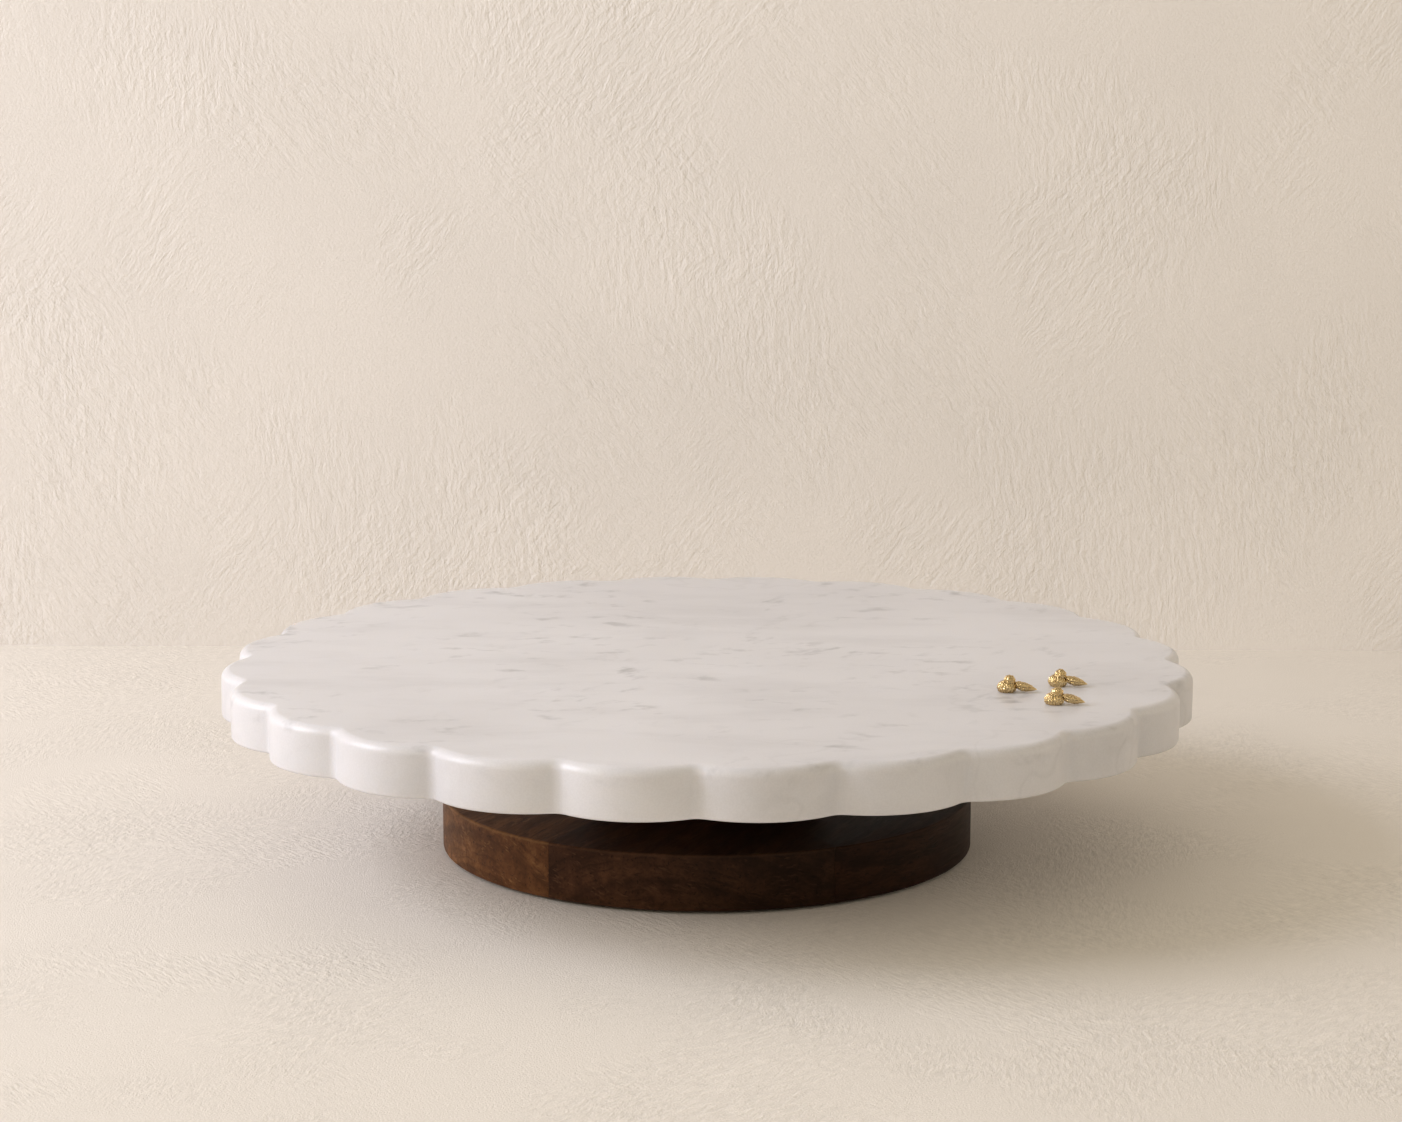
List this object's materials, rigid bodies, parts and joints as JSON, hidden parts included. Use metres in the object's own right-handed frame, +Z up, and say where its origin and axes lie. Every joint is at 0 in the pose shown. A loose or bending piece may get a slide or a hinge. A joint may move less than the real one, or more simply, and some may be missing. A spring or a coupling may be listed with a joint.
{
  "type": "lazy susan turntable",
  "caption": "Scalloped marble serving slab that turns on a caged ball bearing above a round glued walnut base, with small brass bees pinned near its edge.",
  "frame": {"origin": "on the surface that the feet stand on, on the axis that the slab turns about", "axes": "+Z up along the turning axis, through the middle of the slab; +X to the right and -Y towards the viewer when the bees are at the front right; a notch between two lobes lies on each of the four horizontal axes"},
  "size_m": [0.4034, 0.4034, 0.0873],
  "materials": {
    "marble": "satin polished",
    "walnut": "satin oil",
    "cast_brass": "cast and polished",
    "turned_brass": "turned",
    "aluminium": "turned satin",
    "ball_steel": "polished",
    "screw_steel": "zinc plated",
    "rubber": "matte",
    "nylon": "matte"
  },
  "bodies": {
    "base": {"base_board_left": "walnut", "base_board_middle": "walnut", "base_board_right": "walnut", "base_screw_1": "screw_steel", "base_screw_2": "screw_steel", "base_screw_3": "screw_steel", "base_screw_4": "screw_steel", "base_washer_1": "screw_steel", "base_washer_2": "screw_steel", "base_washer_3": "screw_steel", "base_washer_4": "screw_steel", "bearing_inner_ring": "aluminium", "foot_screw_1": "screw_steel", "foot_screw_2": "screw_steel", "foot_screw_3": "screw_steel", "foot_screw_4": "screw_steel", "riser_block": "walnut", "rubber_foot_1": "rubber", "rubber_foot_2": "rubber", "rubber_foot_3": "rubber", "rubber_foot_4": "rubber"},
    "ball_cage_set": {"ball_cage": "nylon", "bearing_ball_1": "ball_steel", "bearing_ball_10": "ball_steel", "bearing_ball_11": "ball_steel", "bearing_ball_12": "ball_steel", "bearing_ball_13": "ball_steel", "bearing_ball_14": "ball_steel", "bearing_ball_15": "ball_steel", "bearing_ball_16": "ball_steel", "bearing_ball_2": "ball_steel", "bearing_ball_3": "ball_steel", "bearing_ball_4": "ball_steel", "bearing_ball_5": "ball_steel", "bearing_ball_6": "ball_steel", "bearing_ball_7": "ball_steel", "bearing_ball_8": "ball_steel", "bearing_ball_9": "ball_steel"},
    "turntable": {"ball_fill_plug": "screw_steel", "bearing_outer_ring": "aluminium", "bee_1": "cast_brass", "bee_2": "cast_brass", "bee_3": "cast_brass", "marble_top": "marble", "ring_screw_1": "screw_steel", "ring_screw_2": "screw_steel", "ring_screw_3": "screw_steel", "ring_screw_4": "screw_steel", "ring_screw_5": "screw_steel", "ring_screw_6": "screw_steel", "slab_insert_1": "turned_brass", "slab_insert_2": "turned_brass", "slab_insert_3": "turned_brass", "slab_insert_4": "turned_brass", "slab_insert_5": "turned_brass", "slab_insert_6": "turned_brass"}
  },
  "joints": [
    {"name": "turntable_spin", "type": "hinge", "parent": "base", "child": "turntable", "pos_m": [0, 0, 0.0555], "axis": [0, 0, 1], "continuous": true},
    {"name": "cage_orbit", "type": "hinge", "parent": "base", "child": "ball_cage_set", "pos_m": [0, 0, 0.0555], "axis": [0, 0, 1], "continuous": true}
  ],
  "couplings": [
    {"joint": "cage_orbit", "follows": "turntable_spin", "ratio": 0.5186}
  ]
}
